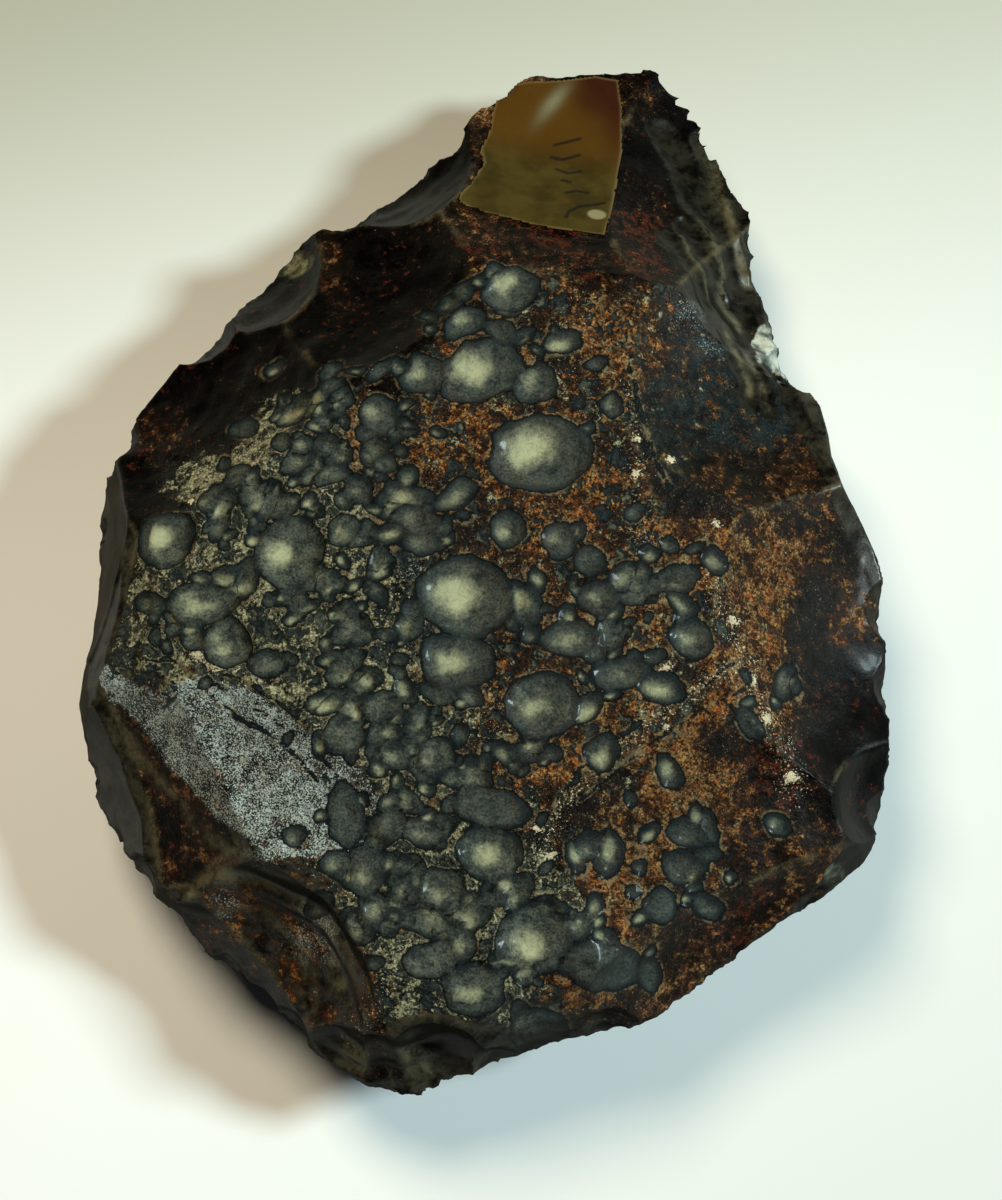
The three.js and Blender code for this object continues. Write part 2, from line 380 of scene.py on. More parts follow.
def refine(piece, chosen, cuts):
    """Cuts the chosen faces finer."""
    select_only(piece)
    bpy.ops.object.mode_set(mode="EDIT")
    bpy.ops.mesh.select_mode(type="FACE")
    bpy.ops.mesh.select_all(action="DESELECT")
    bpy.ops.object.mode_set(mode="OBJECT")
    piece.data.polygons.foreach_set("select", chosen)
    bpy.ops.object.mode_set(mode="EDIT")
    bpy.ops.mesh.subdivide(number_cuts=cuts)
    bpy.ops.object.mode_set(mode="OBJECT")


def faces_of(piece):
    """The middles, in millimetres, and the normals of a mesh's faces."""
    count = len(piece.data.polygons)
    middles = np.empty(count * 3)
    normals = np.empty(count * 3)
    piece.data.polygons.foreach_get("center", middles)
    piece.data.polygons.foreach_get("normal", normals)
    return middles.reshape(-1, 3) / MM, normals.reshape(-1, 3)


# The stone's copy is cut into even cells, finest where it looks up.
CELL = 1.78
guide = copy_of("flint_body", "stone_guide")
stone = copy_of("flint_body", "stone")
modify(stone, "REMESH", mode="VOXEL", voxel_size=CELL * MM)
middles, normals = faces_of(stone)
refine(stone, (normals[:, 2] > -0.35) & (middles[:, 2] > 9), 1)
modify(stone, "SHRINKWRAP", target=guide, wrap_method="TARGET_PROJECT")
middles, normals = faces_of(stone)
refine(stone, (normals[:, 2] > 0.12) & (middles[:, 2] > 9), 1)
modify(stone, "SHRINKWRAP", target=guide, wrap_method="TARGET_PROJECT")

# The scars' facets are drawn on to the true hollows, and the crown on to its dome. The scars'
# borders wander a little.
points = corners(stone)
level = points * [1, 1, 0]
wander = 0.45 * noise(level, 9, 11) + 0.22 * noise(level, 3.5, 12)


def fields(points):
    """How far inside the stone each point lies, by the crown and by each hollow, and which way is in."""
    gaps = [crown_height(points[:, 0], points[:, 1]) - points[:, 2]]
    ways = [np.tile([0.0, 0.0, -1.0], (len(points), 1))]
    for hollow in upper + under:
        far, out = hollow.outside(points)
        gaps.append(far)
        ways.append(out)
    return np.array(gaps), np.array(ways)


gaps, ways = fields(points)
gap = gaps.min(0)
pull = rise(gap, -0.9, -0.7) * (1 - rise(gap, 0.15, 0.4))
every = np.arange(len(points))
for turn in range(4):
    gaps, ways = fields(points)
    gaps[1:len(upper) + 1] += wander
    owner = gaps.argmin(0)
    points -= ways[owner, every] * (gaps[owner, every] * pull)[:, None]
inward = ways[owner, every]
two = np.partition(gaps, 1, axis=0)
ridge = 1 - rise(two[1] - two[0], 0, 0.5)

# The crown's border, seen from above: inland is how far a place on the crown lies from it.
dome = points.copy()
dome[:, 2] = crown_height(points[:, 0], points[:, 1])
borders = np.array([hollow.outside(dome)[0] for hollow in upper]) + wander
inland = borders.min(0)
plateau = rise(inland, -0.1, 0.2) * rise(points[:, 2], 20, 22)
lit = rise(normals_of(stone)[:, 2], 0.0, 0.3)

scar = np.where(owner <= len(upper), owner - 1, -2)
x, y = points[:, 0], points[:, 1]


def of_scar(name):
    return scar == NAMES.index(name)


# Ripples spread over the scars from where each blow fell, and small waves run everywhere.
ripple = np.zeros(len(points))
for number, row in enumerate(UPPER_SCARS):
    if row[9] > 0:
        hollow = upper[number]
        struck = hollow.at + hollow.level * 16
        away = np.hypot(x - struck[0], y - struck[1])
        away += 0.8 * noise(level, 6, 40 + number)
        ripple += np.where(scar == number, row[9] * np.sin(away * 2 * math.pi / 2.6), 0)
calm = 1 - ridge
ripple *= calm * (0.6 + 0.6 * noise(level, 5, 15))
waves = 0.10 * noise(points, 7, 1) + 0.05 * noise(points, 2.5, 2, 2)
points += inward * (ripple + waves * calm)[:, None]

# Steps left by short flakes run beside the crown's left edge and its lower right edge.
silver_edge = borders[NAMES.index("silver")] * rise(-y, 24, 27) * (x < -11)
low_edge = borders[NAMES.index("right_low")]
steps = np.zeros(len(points))
for reach, drop in ((0.9, 0.30), (1.9, 0.25), (3.0, 0.22)):
    steps += drop * (1 - rise(np.abs(silver_edge - reach), 0.1, 0.35)) * (silver_edge > 0.3)
    steps += 0.6 * drop * (1 - rise(np.abs(low_edge - reach), 0.1, 0.35))
points[:, 2] -= steps * plateau


def inside_outline(px, py, outline):
    """True for places inside a closed outline."""
    found = np.zeros(len(px), bool)
    for (x1, y1), (x2, y2) in zip(outline, outline[1:] + outline[:1]):
        crosses = (y1 > py) != (y2 > py)
        lean = (x2 - x1) / (y2 - y1 if y2 != y1 else 1e-9)
        found ^= crosses & (px < x1 + (py - y1) * lean)
    return found


def far_from_line(px, py, line):
    """Distance from each place to the nearest part of a bent line."""
    best = np.full(len(px), 1e3)
    for (x1, y1), (x2, y2) in zip(line, line[1:]):
        run = np.array([x2 - x1, y2 - y1])
        t = np.clip(((px - x1) * run[0] + (py - y1) * run[1]) / (run @ run), 0, 1)
        best = np.minimum(best, np.hypot(px - x1 - t * run[0], py - y1 - t * run[1]))
    return best


# Round glossy pits: across and along in millimetres, half length, half breadth, bearing of
# the long axis, and how deep it is, which also sets how strong its pale patch and painted highlight are.
PITS = [
    (-2.6, -12.8, 6.1, 5.1, 85, 1.5), (-1.9, -20.8, 4.9, 3.5, 85, 1.2),
    (3.2, 6.9, 6.4, 5.1, 70, 1.5), (-6.2, 16.2, 5.8, 4.1, 60, 1.4),
    (-13.0, 14.8, 3.1, 2.7, 60, 1), (0.9, 15.9, 2.9, 2.7, 60, 1),
    (-4.6, 28.5, 3.7, 3.3, 50, 1.2), (-9.3, 22.5, 2.8, 2.3, 50, 1),
    (-10.4, 27.0, 1.5, 1.6, 0, 1), (-17.4, 8.2, 2.8, 2.7, 60, 1),
    (-24.7, 7.7, 1.2, 1.1, 0, 1), (-22.5, 8.3, 1.1, 1.0, 0, 1),
    (-26.6, 3.0, 1.6, 1.3, 90, 1), (-22.0, -0.4, 2.7, 1.4, 70, 0.8),
    (-15.5, 1.9, 1.8, 1.4, 90, 0.8), (-40.8, -11.6, 4.0, 3.6, 0, 1.4),
    (-34.4, -18.9, 4.6, 3.0, 80, 1.1), (-30.2, -23.3, 3.1, 3.0, 60, 1.1),
    (-25.0, -25.2, 2.8, 1.9, 90, 0.8), (-25.0, -11.0, 4.6, 4.4, 0, 1.3),
    (-36.6, -5.7, 1.7, 1.6, 0, 1), (-10.4, -4.4, 3.1, 2.0, 80, 0.8),
    (-9.3, -7.1, 2.5, 1.8, 80, 0.8), (1.3, -3.7, 2.5, 2.3, 0, 1),
    (7.6, -3.9, 2.3, 2.2, 0, 0.9), (11.6, -5.7, 2.2, 1.9, 90, 0.8),
    (13.3, -10.0, 2.7, 2.3, 60, 0.9), (11.0, -15.8, 3.7, 2.5, 80, 0.9),
    (17.7, -18.9, 3.7, 2.2, 70, 0.8), (25.3, -13.0, 2.9, 2.9, 0, 1.1),
    (8.9, -24.5, 4.6, 4.1, 80, 1), (-10.1, -28.1, 2.8, 1.9, 80, 0.8),
    (-14.0, -32.0, 2.6, 2.4, 0, 0.7), (-7.3, -33.3, 2.2, 1.9, 90, 0.9),
    (-2.5, -32.7, 2.5, 2.2, 60, 0.9), (-11.9, -41.2, 4.4, 2.3, 165, 0.9),
    (-6.7, -41.9, 3.1, 2.0, 80, 0.9), (-2.6, -41.8, 2.7, 1.9, 90, 0.9),
    (-8.2, -47.4, 3.2, 2.8, 0, 1), (6.1, -42.8, 4.0, 3.6, 80, 1.2),
    (1.0, -47.9, 2.7, 2.7, 0, 1), (-6.2, -51.6, 2.1, 1.9, 0, 1),
    (-3.7, -51.8, 1.2, 1.1, 0, 1), (5.1, -37.5, 4.9, 2.5, 85, 0.5),
    (1.3, -56.2, 3.2, 2.5, 70, 0.7), (4.5, -53.8, 2.2, 2.0, 0, 0.9),
    (6.9, -58.6, 3.8, 3.4, 60, 1.2), (13.2, -51.6, 4.4, 4.3, 30, 1.3),
    (21.3, -53.0, 5.5, 2.7, 80, 0.6), (27.3, -44.5, 2.5, 2.3, 0, 0.7),
    (15.6, -60.9, 3.8, 2.0, 80, 0.8), (10.8, 14.8, 1.8, 1.6, 0, 1),
    (16.0, 1.7, 1.3, 1.3, 0, 0.8),
]
warp_x = x + 0.45 * noise(level, 3, 21, 2)
warp_y = y + 0.45 * noise(level, 3, 22, 2)


def spread(middle_x, middle_y, long, broad, turn):
    """0 at the middle of a pit and 1 at its rim."""
    along = (math.sin(math.radians(turn)), math.cos(math.radians(turn)))
    dx = warp_x - middle_x
    dy = warp_y - middle_y
    return np.hypot((dx * along[0] + dy * along[1]) / long, (dx * along[1] - dy * along[0]) / broad)


pale_and_highlight = np.zeros(len(points))
edge = np.full(len(points), 2.0)
second = np.full(len(points), 2.0)
in_pit = np.zeros(len(points))
top = lit * (points[:, 2] > 18)
for px, py, long, broad, turn, deep in PITS:
    share = spread(px, py, long, broad, turn)
    floor_z = crown_height(px, py) - 0.3 * broad * min(deep, 1.1) * (1 - share ** 2)
    inside = (share < 1) & (top > 0.5)
    points[:, 2] = np.where(inside, np.minimum(points[:, 2], floor_z), points[:, 2])
    on_floor = top * (points[:, 2] > floor_z - 0.5)
    in_pit = np.maximum(in_pit, on_floor * (1 - rise(share, 0.9, 1.03)))
    rings = 0.03 * np.sin(share * 24) * rise(share, 0.45, 0.6)
    points[:, 2] += np.where(inside, rings, 0)
    # Each pit's floor gets a pale patch, partly pale patina and partly a painted highlight, set off to
    # its left where light falls in the hollow.
    lean_x = px - broad * (0.26 if py > -40 else 0.1)
    lean_y = py + broad * (0.08 + 0.005 * py)
    patch = spread(lean_x, lean_y, long * 0.7, broad * 0.7, turn)
    gleam = (1 - rise(patch, 0.05, 1.35)) ** 1.1 * (1 - rise(share, 0.8, 1.0))
    pale_and_highlight = np.maximum(pale_and_highlight, on_floor * gleam * min(0.82 * deep - 0.27, 0.95))
    beyond = np.where(top > 0.5, (share - 1) * broad, 2)
    second = np.minimum(second, np.maximum(edge, beyond))
    edge = np.minimum(edge, beyond)

# Many smaller pits and crescents crowd between them, in clusters: middle, spread and
# number. CROWDING is the share of that number that is tried.
CROWDING = 0.6
CLUSTERS = [
    (-24, 4, 9, 70), (-32, -6, 6, 36), (-17, 8, 6, 25), (-20, -12, 9, 50), (-27, -17, 7, 36),
    (-12, -6, 7, 34), (-14, -24, 9, 55), (-6, -34, 8, 60), (-3, -42, 7, 50), (-8, -50, 6, 40),
    (2, -52, 6, 34), (8, -47, 6, 24), (10, -10, 7, 34), (16, -16, 6, 24), (-8, 24, 6, 20),
    (2, 20, 6, 18), (20, -5, 8, 18), (28, -38, 10, 26), (20, -48, 8, 26), (-36, -21, 4, 16),
    (12, -56, 6, 16), (36, -20, 8, 10), (3, -31, 8, 30),
]
chance = np.random.default_rng(5)
small = np.zeros(len(points))
glaze = in_pit.copy()
for middle_x, middle_y, width, count in CLUSTERS:
    for one in range(round(count * CROWDING)):
        px, py = chance.normal((middle_x, middle_y), width * 0.6)
        broad = 0.75 + 1.25 * chance.random() ** 2
        long = broad * chance.uniform(1, 1.8)
        turn = chance.uniform(0, 180)
        island = chance.random()
        shade = chance.uniform(0.15, 0.8)
        near = np.flatnonzero((abs(x - px) < 2.2 * long) & (abs(y - py) < 2.2 * long) & (top > 0.5))
        if len(near) == 0 or in_pit[near].mean() > 0.5:
            continue
        along = (math.sin(math.radians(turn)), math.cos(math.radians(turn)))
        dx = warp_x[near] - px
        dy = warp_y[near] - py
        a = (dx * along[0] + dy * along[1]) / long
        b = (dx * along[1] - dy * along[0]) / broad
        share = np.hypot(a, b)
        drop = -0.42 * broad * np.clip(1 - share ** 2, 0, 1)
        if island < 0.4:
            drop += 0.40 * broad * np.clip(1 - (np.hypot(a - 0.3, b + 0.35) / 0.75) ** 2, 0, 1)
        small[near] = np.minimum(small[near], np.minimum(drop, 0))
        # A pale spot off the middle of each small pit is partly pale patina and partly a painted
        # highlight.
        patch = np.hypot(a + 0.2, b - 0.15)
        free = 1 - in_pit[near]
        spot = (1 - rise(patch, 0.0, 1.1)) * shade * free * (share < 1)
        pale_and_highlight[near] = np.maximum(pale_and_highlight[near], spot)
        glaze[near] = np.maximum(glaze[near], free * (1 - rise(share, 0.8, 1.1)))
        beyond = np.where(free > 0.5, (share - 1) * broad, 2)
        second[near] = np.minimum(second[near], np.maximum(edge[near], beyond))
        edge[near] = np.minimum(edge[near], beyond)
points[:, 2] += small * (1 - in_pit) * top

# Thin dark cracks follow the steps beside the crown.
CRACKS = [
    [(-40.5, -26.6), (-37.0, -26.4), (-31.3, -28.3), (-25.0, -30.6), (-18.5, -32.9), (-14.8, -36.5)],
    [(-38.5, -28.2), (-32.5, -29.6), (-26.0, -32.0), (-20.0, -34.4), (-16.0, -38.0)],
    [(-30.0, -27.0), (-24.5, -28.8), (-18.0, -31.2)],
    [(30.8, -14.8), (25.0, -20.6), (19.0, -26.4), (13.6, -33.0), (11.2, -38.4)],
    [(32.5, -17.0), (26.6, -22.6), (20.6, -28.4), (15.4, -34.6)],
    [(10.2, 28.0), (12.4, 20.0), (15.0, 13.5), (19.8, 5.0)],
    [(-30, -7), (-25, -13), (-22, -20)],
    [(-17, -18), (-21, -25), (-20, -30)],
    [(-2, -8), (-9, -12), (-16, -14)],
]
for line in CRACKS:
    broken = far_from_line(warp_x, warp_y, line) - 0.10 + 0.20 * noise(level, 2.5, 75)
    edge = np.where(top > 0.5, np.minimum(edge, broken), edge)

# Narrow flutes and dishes hollow the right margin near the point: the middle line of each, its
# half width and its depth.
FLUTES = [
    ([(14.0, 43.5), (17.0, 39.5), (20.5, 34.0)], 1.5, 0.45),
    ([(16.2, 46.5), (19.8, 41.5), (22.4, 36.0)], 1.7, 0.50),
    ([(19.6, 49.5), (22.3, 44.5), (24.4, 40.5)], 2.3, 0.75),
    ([(22.8, 52.5), (25.0, 47.0), (28.0, 41.5)], 1.5, 0.40),
    ([(23.6, 36.8), (26.4, 32.6)], 2.9, 0.85),
    ([(23.4, 31.0), (25.6, 26.4), (28.2, 21.5)], 1.2, 0.40),
    ([(27.0, 27.6), (29.4, 23.6), (31.0, 20.6)], 1.2, 0.40),
    ([(30.4, 28.4), (32.6, 24.4), (35.0, 20.0)], 1.4, 0.45),
    ([(10.5, 62.0), (14.5, 56.5), (16.5, 51.5)], 2.4, 0.35),
    ([(16.5, 62.5), (18.5, 57.0), (19.0, 52.0)], 1.9, 0.45),
]
scooped = np.zeros(len(points))
for line, broad, deep in FLUTES:
    share = far_from_line(warp_x, warp_y, line) / broad
    points[:, 2] -= 1.5 * deep * np.clip(1 - share ** 2, 0, 1) * lit
    scooped = np.maximum(scooped, (share < 1) * lit)

# Small chips along the margin.
MARGIN_CHIPS = 240
heart = np.array([0.0, -4.0])
bearing = np.arctan2(points[:, 0] - heart[0], points[:, 1] - heart[1])
reach = np.hypot(points[:, 0] - heart[0], points[:, 1] - heart[1])
order = np.argsort(bearing)
bins = np.array_split(order, MARGIN_CHIPS)
rim_points = np.array([points[b[reach[b].argmax()]] for b in bins])
for spot in rim_points:
    size = chance.uniform(1.0, 3.2)
    bite = chance.uniform(0.15, 0.5)
    out = spot[:2] - heart
    out /= np.linalg.norm(out)
    lean = chance.uniform(-0.9, 0.9)
    way = np.array([out[0], out[1], lean])
    way /= np.linalg.norm(way)
    centre = spot + way * (size - bite)
    apart = points - centre
    far = np.linalg.norm(apart, axis=1)
    cut = far < size
    points[cut] = centre + apart[cut] / far[cut][:, None] * size

# A rusty crust roughens the crown and the low right scar, with cream crumbs caught in it.
CRUMBS = [
    (18.2, -27.5, 0.9), (6.2, -23.5, 0.8), (-0.7, -26.1, 0.7), (8.1, -30.6, 0.6), (13.2, -41.6, 0.8),
    (-39.1, -5.7, 0.6), (-31.9, 0.2, 0.6), (-33.4, -25.3, 1.0), (-31.2, -26.0, 0.9), (-13.6, -32.6, 0.7),
    (15.2, 6.2, 0.8), (14.5, 11.0, 0.7), (33.5, -15.5, 0.9), (36.0, -20.0, 0.9), (40.5, -26.5, 0.8),
    (30.5, -9.0, 0.7), (23.0, -17.5, 0.8), (11.0, -38.5, 0.6), (24.0, -24.0, 0.5), (26.2, 2.0, 0.6),
    (19.2, 9.4, 0.6),
]

# Finer ones are strewn along these lines: how far they stray and how many lie there.
STREWN = [
    ([(33, -13), (22, -24), (13, -36), (12, -43)], 1.8, 0.36),
    ([(26, -4), (31, -12), (38, -22), (41, -28)], 2.6, 0.34),
    ([(12, 18), (15, 8), (17, 0)], 2.2, 0.27),
    ([(-38, -4), (-32, 1), (-24, 6)], 2.6, 0.26),
    ([(-39, -20), (-33, -26), (-26, -27)], 2.2, 0.30),
    ([(-14, -46), (-8, -52), (-4, -60), (-6, -66)], 3.0, 0.32),
    ([(-16, -30), (-12, -34)], 3.0, 0.26),
    ([(-20, -8), (0, -26), (8, -31)], 5.0, 0.22),
    ([(3, 28), (9, 14)], 4.0, 0.20),
]

# The skins of the upper face: middle and half width of each part.
PATCHES = [
    (-11, 36, 7, "oxblood"), (3, 37, 6, "oxblood"), (10, 40, 5, "oxblood"), (2, 25, 5, "rusty"),
    (8, 18, 6, "rusty"), (10, 28, 5, "rusty"), (-15, 26, 5, "black"), (0, 11, 8, "rusty"),
    (-25, 14, 6, "black"), (-30, 4, 5, "grey"), (-36, 8, 5, "black"), (-31, 12, 5, "black"),
    (-26, -2, 8, "grey"), (-34, -8, 8, "grey"),
    (-14, 5, 6, "rusty"), (13, 8, 6, "rusty"), (-4, -3, 6, "rusty"), (9, -11, 7, "rusty"),
    (18, -7, 7, "rusty"), (20, -19, 7, "rusty"), (-11, -15, 6, "teal"), (-20, -11, 7, "grey"),
    (-28, -20, 7, "grey"), (-36, -24, 5, "grey"), (-16, -23, 7, "grey"), (-2, -33, 7, "grey"),
    (-8, -37, 7, "grey"), (5, -32, 6, "rusty"), (12, -27, 6, "rusty"), (4, -22, 6, "rusty"),
    (-2, -47, 7, "grey"), (5, -51, 7, "grey"), (13, -45, 6, "grey"), (20, -34, 7, "orange"),
    (29, -28, 7, "orange"), (39, -27, 7, "oxblood"), (22, -42, 7, "orange"), (33, -42, 8, "oxblood"),
    (20, -55, 7, "rusty"), (40, -16, 5, "orange"), (35, -2, 6, "orange"), (28, 0, 5, "orange"),
    (42, -2, 6, "brown"), (47, -14, 6, "black"), (46, -25, 4, "black"), (33, -9, 6, "orange"),
    (20, 29, 7, "night"), (17, 20, 6, "night"), (26, 20, 6, "night"), (20, 11, 5, "night"),
    (28, 12, 5, "brown"), (34, 10, 5, "brown"), (24, 5, 5, "brown"), (38, 5, 5, "orange"),
    (14, 57, 8, "black"), (10, 48, 4, "oxblood"), (18, 46, 6, "black"), (7, 62, 4, "brown"),
    (-22, 32, 8, "black"), (-13, 42, 5, "brown"), (-32, 22, 7, "black"), (-40, 14, 7, "black"),
    (-44, 5, 4, "oxblood"), (-36, 13, 4, "brown"), (-47, -6, 5, "black"), (-30, 30, 5, "brown"),
    (30, -52, 7, "brown"), (44, -36, 7, "brown"), (10, -60, 6, "grey"), (3, -58, 5, "grey"),
]
total = np.full(len(points), 1e-6)
patched = np.tile(np.array(SKINS["rusty"]) * 1e-6, (len(points), 1))
shift_x = x + 3.0 * noise(level, 8, 31, 3)
shift_y = y + 3.0 * noise(level, 8, 32, 3)
for px, py, width, skin in PATCHES:
    weight = np.exp(-1.6 * ((shift_x - px) ** 2 + (shift_y - py) ** 2) / width ** 2)
    total += weight
    patched += weight[:, None] * np.array(SKINS[skin])
patched /= total[:, None]
BARE = ("flutes", "right_chip", "tip_left", "left_chip", "left_side", "left_low_side", "left_band",
        "silver", "arcs", "arcs_low", "butt_left", "butt_middle", "butt_right")
bare = np.isin(scar, [NAMES.index(name) for name in BARE]) | (scar < -1)
own = np.tile(np.array(SKINS["flute"]), (len(points), 1))
for number, row in enumerate(UPPER_SCARS):
    own[scar == number] = SKINS[row[8]]

# The silver scar, with its painted sparkle, runs on a little below its lower ridge, as far as this line.
SILVER_LINE = [
    (-42.6, -31.8), (-37.6, -36.2), (-32.7, -40.5), (-27.8, -44.4), (-21.7, -46.9), (-17.7, -47.4),
]
line_x, line_y = np.array(SILVER_LINE).T
above_line = y + 0.5 * noise(level, 4, 72) - np.interp(x, line_x, line_y)
silver = (of_scar("silver") | (of_scar("left_band") & (x < -17))) * rise(above_line, -0.2, 0.5)
silver *= rise(points[:, 2], 19, 21)
own += (np.array(SKINS["silver"]) - own) * silver[:, None]

# A strip of bare olive flint runs along the right margin.
STRIP = [(33.9, 23.3), (36.7, 16.4), (40.1, 10.0), (45.3, 4.6), (49.0, -2.0)]
strip_x, strip_y = np.array(STRIP[::-1]).T
beyond = x + 0.6 * noise(level, 5, 73, 2) - np.interp(y, strip_y, strip_x)
strip = rise(beyond, 0.0, 0.8) * (y > -4) * (y < 27) * lit
own += (patched - own) * (~bare)[:, None]
own += (np.array(SKINS["olive"]) - own) * (0.8 * strip)[:, None]
own += (np.array(SKINS["flute"]) - own) * scooped[:, None]

# Painted highlights lie along the rounded ridges and flutes: the line of each, its half width and its
# strength.
PAINTED_HIGHLIGHT_SKIN = np.array([0.075, 0.068, 0.040, 0, 0, 0, 0.1])
PAINTED_HIGHLIGHT_LINES = [
    ([(-30.0, -53.0), (-27.5, -51.0), (-22.4, -49.8), (-16.4, -51.2), (-11.2, -55.4),
      (-9.0, -61.0)], 0.9, 0.9),
    ([(-27.0, -55.5), (-22.5, -53.6), (-17.5, -55.2), (-14.2, -59.0), (-13.4, -63.5)], 0.35, 0.45),
    ([(-43.5, -33.5), (-38.6, -38.0), (-33.6, -42.2), (-28.6, -46.2), (-22.6, -48.2)], 0.8, 0.5),
    ([(20.8, 53.1), (22.9, 46.6), (25.8, 41.0)], 0.6, 0.8),
    ([(22.0, 38.6), (23.2, 36.0), (25.4, 33.6)], 0.6, 0.8),
    ([(18.0, 48.5), (20.4, 44.0), (22.0, 40.5)], 0.7, 0.6),
    ([(15.6, 44.6), (18.4, 40.2), (21.0, 36.0)], 0.35, 0.5),
    ([(23.2, 32.5), (25.2, 28.0), (27.8, 22.5)], 0.4, 0.6),
    ([(26.6, 28.6), (28.6, 24.8), (30.4, 21.2)], 0.4, 0.6),
    ([(17.4, 62.0), (19.4, 56.5), (20.6, 52.5)], 1.0, 0.5),
    ([(-7.5, -66.5), (-5.5, -68.8)], 1.6, 0.6),
    ([(0.8, -66.8), (2.8, -68.6)], 1.3, 0.5),
]
for line, broad, strength in PAINTED_HIGHLIGHT_LINES:
    band = strength * np.exp(-(far_from_line(warp_x, warp_y, line) / broad) ** 2) * lit
    own += (PAINTED_HIGHLIGHT_SKIN - own) * band[:, None]
tint, rust, red, ash, crust = own[:, :3], own[:, 3], own[:, 4], own[:, 5], own[:, 6]
patchy = 1 + 0.5 * noise(level, 5, 33, 3)
rust = rust * np.clip(patchy, 0.4, 1.25)
red = red * np.clip(1.0 + 1.0 * noise(level, 5, 34, 2), 0, 1.4)
density = np.clip(1.6 * ash - 0.12, 0, 0.7) * rise(inland, -1.5, 0.5) * (1 - glaze)
# Ridges are tinted tan, partly wear and partly painted highlight.
wear_and_highlight = ridge * rise(noise(points, 4, 52, 2), -0.3, 0.5) * (scar >= -1) * lit

# Fresh pale chips: the outline of the largest, then place, half sizes and colour of the others.
FRESH = [
    (27.4, 32.0), (28.4, 35.5), (30.6, 37.0), (32.2, 35.8), (32.4, 32.6), (31.6, 31.6), (33.6, 29.4),
    (33.4, 28.3), (31.4, 28.6), (30.2, 29.2), (28.4, 27.8), (28.0, 29.6),
]
fresh = inside_outline(x + 0.2 * noise(level, 1, 35), y + 0.2 * noise(level, 1, 36), FRESH) * lit
tint += (np.array((0.25, 0.27, 0.23)) - tint) * fresh[:, None]
CHIPS = [
    (-34.6, 32.0, 3.0, 2.0, (0.13, 0.13, 0.08)),
    (49.2, -36.6, 2.6, 1.6, (0.20, 0.21, 0.15)),
]
for px, py, wide, tall, colour in CHIPS:
    share = np.hypot((warp_x - px) / wide, (warp_y - py) / tall)
    mask = (1 - rise(share, 0.7, 1.1)) * lit
    tint += (np.array(colour) - tint) * mask[:, None]
    fresh = np.maximum(fresh, mask)
for part in (rust, red, ash, crust, scooped):
    part *= 1 - fresh

crumb = np.zeros(len(points))
for px, py, width in CRUMBS:
    apart = np.hypot(warp_x - px, warp_y - py) / width
    crumb = np.maximum(crumb, np.exp(-apart ** 2) * top)
for line, stray, share in STREWN:
    near = far_from_line(x, y, line) / stray
    crumb = np.maximum(crumb, share * np.exp(-near ** 2) * top * (1 - glaze))
crust *= 1 - in_pit
rough_height = 0.13 * noise(points, 2.2, 61, 4)
points[:, 2] += crust * rough_height * top
points[:, 2] += 0.3 * rise(crumb + 0.6 * noise(points, 0.9, 62, 2), 0.55, 0.8)
points[:, 2] = np.clip(points[:, 2], 0, CROWN_TOP[2])
set_corners(stone, points)
bpy.data.objects.remove(guide)
select_only(stone)
bpy.ops.object.shade_smooth()

silver *= 0.75 + 0.35 * noise(level, 4, 71, 2)

# Painted glints outside the silver scar, pale grains that stand for reflected light: middle, half width
# and strength.
PAINTED_SPARKLES = [
    (18.6, 30.4, 2.4, 0.42), (22.0, 27.0, 2.0, 0.3), (-9.5, -10.8, 1.6, 0.45), (16.5, -8.0, 2.2, 0.4),
    (-20.5, -47.0, 3.0, 0.4), (-13.5, -55.0, 3.5, 0.5), (17.5, -2.0, 1.6, 0.4), (-24.5, -53.5, 1.8, 0.4),
]
for px, py, width, strength in PAINTED_SPARKLES:
    painted_sparkle = strength * np.exp(-((warp_x - px) ** 2 + (warp_y - py) ** 2) / width ** 2) * lit
    silver = np.maximum(silver, painted_sparkle)
wear_and_highlight = wear_and_highlight * (1 - silver)

# Tan lines, partly wear and partly painted highlight, run along the ridges and steps: the line of
# each, its half width and strength.
TAN_WEAR_AND_HIGHLIGHT_LINES = [
    ([(6.7, 30.5), (8.7, 22.2), (11.1, 15.6), (17.1, 5.9), (20.2, -1.4), (22.5, -9.0)], 0.30, 0.8),
    ([(9.0, 29.5), (11.2, 21.5), (13.8, 15.0), (19.2, 6.2)], 0.22, 0.5),
    ([(-28.7, -51.2), (-22.4, -49.4), (-14.6, -50.9), (-9.4, -55.4), (-7.1, -60.9)], 0.75, 1.0),
    ([(-26.0, -54.5), (-20.5, -53.0), (-15.2, -55.5), (-12.4, -60.0), (-12.0, -64.0)], 0.40, 0.6),
    ([(-2.6, -65.8), (-0.8, -71.0)], 0.35, 0.8),
    ([(-2.6, -65.8), (3.0, -69.5)], 0.30, 0.6),
    ([(-2.6, -65.8), (-6.5, -70.0)], 0.30, 0.6),
    ([(20.8, 53.1), (22.9, 46.6), (25.8, 41.0)], 0.45, 1.0),
    ([(31.8, -13.9), (22.0, -25.0), (13.2, -35.1), (12.1, -42.4)], 0.35, 0.5),
]
for line, broad, strength in TAN_WEAR_AND_HIGHLIGHT_LINES:
    band = np.exp(-(far_from_line(warp_x, warp_y, line) / broad) ** 2)
    wear_and_highlight = np.maximum(wear_and_highlight, strength * band * lit)


def paint(piece, name, rgb):
    """Stores a colour or three masks on the corners of a mesh."""
    layer = piece.data.attributes.new(name, "FLOAT_COLOR", "POINT")
    full = np.ones((len(rgb), 4))
    full[:, :3] = rgb
    layer.data.foreach_set("color", full.ravel())


